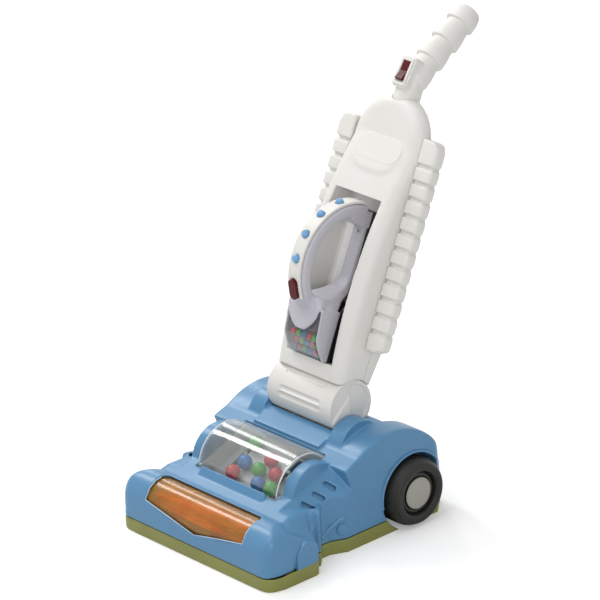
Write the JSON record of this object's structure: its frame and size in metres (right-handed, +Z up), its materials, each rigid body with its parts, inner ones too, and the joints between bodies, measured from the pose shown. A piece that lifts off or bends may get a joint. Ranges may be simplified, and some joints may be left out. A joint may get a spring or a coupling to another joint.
{
  "type": "toy_vacuum_cleaner",
  "caption": "Toy upright vacuum cleaner with a leaning white upright, lift-out hand vacuum, blue rolling base, amber roller window and a clear dome of popping balls.",
  "frame": {"origin": "On the floor, on the middle plane, below the rear axle", "axes": "+Z up, -Y to the front, +X to the right-hand side of the picture"},
  "size_m": [0.25, 0.4455, 0.5305],
  "materials": {
    "hood_blue": "glossy",
    "tray_olive": "satin",
    "amber_clear": "glossy",
    "clear_plastic": "glossy",
    "chamber_grey": "satin",
    "shell_white": "satin",
    "vac_grey": "satin",
    "vac_black": "matte",
    "tyre_black": "matte",
    "hub_black": "satin",
    "cap_grey": "satin",
    "steel": "satin",
    "belt_rubber": "matte",
    "drive_plastic": "satin",
    "roller_red": "glossy",
    "ball_red": "glossy",
    "ball_green": "glossy",
    "ball_blue": "glossy",
    "button_blue": "glossy",
    "button_maroon": "glossy",
    "cell_metal": "satin",
    "speaker_black": "matte",
    "board_green": "satin"
  },
  "bodies": {
    "base": {"base_tray": "tray_olive", "hood": "hood_blue", "roller_window": "amber_clear", "ball_dome": "clear_plastic", "ball_tray": "chamber_grey", "hinge_pin": "steel", "left_axle_bush": "drive_plastic", "right_axle_bush": "drive_plastic", "left_roller_bearing": "drive_plastic", "right_roller_bearing": "drive_plastic", "drive_belt": "belt_rubber", "beater_belt": "belt_rubber", "base_screws": "steel", "chamber_screws": "steel"},
    "wheels": {"rear_axle": "steel", "left_tyre": "tyre_black", "right_tyre": "tyre_black", "left_wheel_hub": "hub_black", "right_wheel_hub": "hub_black", "left_hub_cap": "cap_grey", "right_hub_cap": "cap_grey", "axle_pulley": "drive_plastic"},
    "popper": {"popper_shaft": "steel", "popper_paddles": "drive_plastic", "popper_pulleys": "drive_plastic"},
    "beater": {"beater_roller": "roller_red", "beater_pulley": "drive_plastic"},
    "red_ball_set": {"red_balls": "ball_red"},
    "green_ball_set": {"green_balls": "ball_green"},
    "blue_ball_set": {"blue_balls": "ball_blue"},
    "upright": {"upright_front": "shell_white", "upright_back": "shell_white", "hinge_drum": "shell_white", "handle_grip": "shell_white", "switch_bezel": "shell_white", "battery_box": "hub_black", "batteries": "cell_metal", "battery_door": "shell_white", "door_screw": "steel", "speaker": "speaker_black", "sound_board": "board_green", "upright_screws": "steel"},
    "rocker": {"rocker_switch": "button_maroon"},
    "hand_vac": {"hand_vac_back": "vac_black", "hand_vac_shell": "vac_grey", "handle_spine": "shell_white", "nozzle_cup": "clear_plastic", "hand_vac_screws": "steel"},
    "bead_set": {"red_beads": "ball_red", "green_beads": "ball_green", "blue_beads": "ball_blue"},
    "trigger": {"trigger_button": "button_maroon"},
    "button_1": {"dome_button_1": "button_blue"},
    "button_2": {"dome_button_2": "button_blue"},
    "button_3": {"dome_button_3": "button_blue"},
    "button_4": {"dome_button_4": "button_blue"}
  },
  "joints": [
    {"name": "upright_tilt", "type": "hinge", "parent": "base", "child": "upright", "pos_m": [0, -0.046, 0.098], "axis": [-1, 0, 0], "range_deg": [0, 45]},
    {"name": "axle_spin", "type": "hinge", "parent": "base", "child": "wheels", "pos_m": [0, 0, 0.0395], "axis": [1, 0, 0], "continuous": true},
    {"name": "popper_spin", "type": "hinge", "parent": "base", "child": "popper", "pos_m": [0, -0.09779, 0.05259], "axis": [1, 0, 0], "continuous": true},
    {"name": "beater_spin", "type": "hinge", "parent": "base", "child": "beater", "pos_m": [0, -0.2015, 0.0385], "axis": [1, 0, 0], "continuous": true},
    {"name": "red_ball_hop", "type": "slide", "parent": "base", "child": "red_ball_set", "axis": [0, -0.3633, 0.9317], "range_m": [0, 0.008]},
    {"name": "green_ball_hop", "type": "slide", "parent": "base", "child": "green_ball_set", "axis": [0, -0.3633, 0.9317], "range_m": [0, 0.008]},
    {"name": "blue_ball_hop", "type": "slide", "parent": "base", "child": "blue_ball_set", "axis": [0, -0.3633, 0.9317], "range_m": [0, 0.008]},
    {"name": "rocker_tip", "type": "hinge", "parent": "upright", "child": "rocker", "pos_m": [0, 0.10814, 0.47532], "axis": [1, 0, 0], "range_deg": [0, 16]},
    {"name": "hand_vac_lift", "type": "slide", "parent": "upright", "child": "hand_vac", "axis": [0, -0.9135, 0.4067], "range_m": [0, 0.12]},
    {"name": "bead_shake", "type": "slide", "parent": "hand_vac", "child": "bead_set", "axis": [0, 0.4067, 0.9135], "range_m": [0, 0.004]},
    {"name": "trigger_press", "type": "slide", "parent": "hand_vac", "child": "trigger", "axis": [0, 0.9925, 0.1219], "range_m": [0, 0.002], "stiffness_N_per_m": 500},
    {"name": "button_1_press", "type": "slide", "parent": "hand_vac", "child": "button_1", "axis": [0, 0, -1], "range_m": [0, 0.0012], "stiffness_N_per_m": 300},
    {"name": "button_2_press", "type": "slide", "parent": "hand_vac", "child": "button_2", "axis": [0, 0.3907, -0.9205], "range_m": [0, 0.0012], "stiffness_N_per_m": 300},
    {"name": "button_3_press", "type": "slide", "parent": "hand_vac", "child": "button_3", "axis": [0, 0.7193, -0.6947], "range_m": [0, 0.0012], "stiffness_N_per_m": 300},
    {"name": "button_4_press", "type": "slide", "parent": "hand_vac", "child": "button_4", "axis": [0, 0.9336, -0.3584], "range_m": [0, 0.0012], "stiffness_N_per_m": 300}
  ],
  "couplings": [
    {"joint": "popper_spin", "follows": "axle_spin", "ratio": 1},
    {"joint": "beater_spin", "follows": "axle_spin", "ratio": 1}
  ]
}
